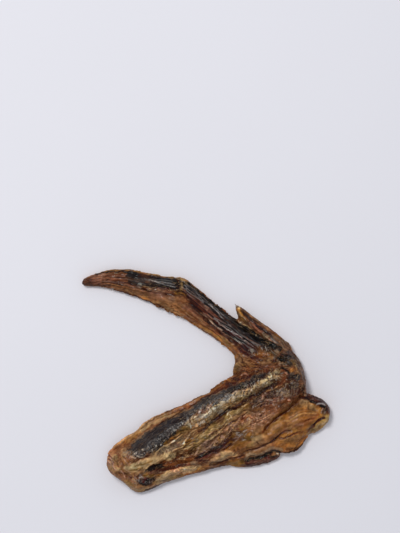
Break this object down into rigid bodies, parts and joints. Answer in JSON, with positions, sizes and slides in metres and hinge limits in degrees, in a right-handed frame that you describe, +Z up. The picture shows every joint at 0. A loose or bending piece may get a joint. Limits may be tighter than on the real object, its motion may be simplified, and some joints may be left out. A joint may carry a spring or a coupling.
{
  "type": "dried duck wing",
  "caption": "Whole dried duck wing folded in a Z: upper arm and forearm side by side in one skin, hand and finger bent back, thumb, cut shoulder end; lies flat.",
  "frame": {"origin": "middle of the wing's bounding box, on the surface it lies on", "axes": "+Z up from the surface; +X from the elbow and fingertip side to the wrist and shoulder side; +Y from the upper arm to the hand"},
  "size_m": [0.1164, 0.105, 0.0149],
  "materials": {
    "dried_skin": "semi-gloss dried skin"
  },
  "bodies": {
    "root": {"duck_wing": "dried_skin"}
  },
  "joints": []
}
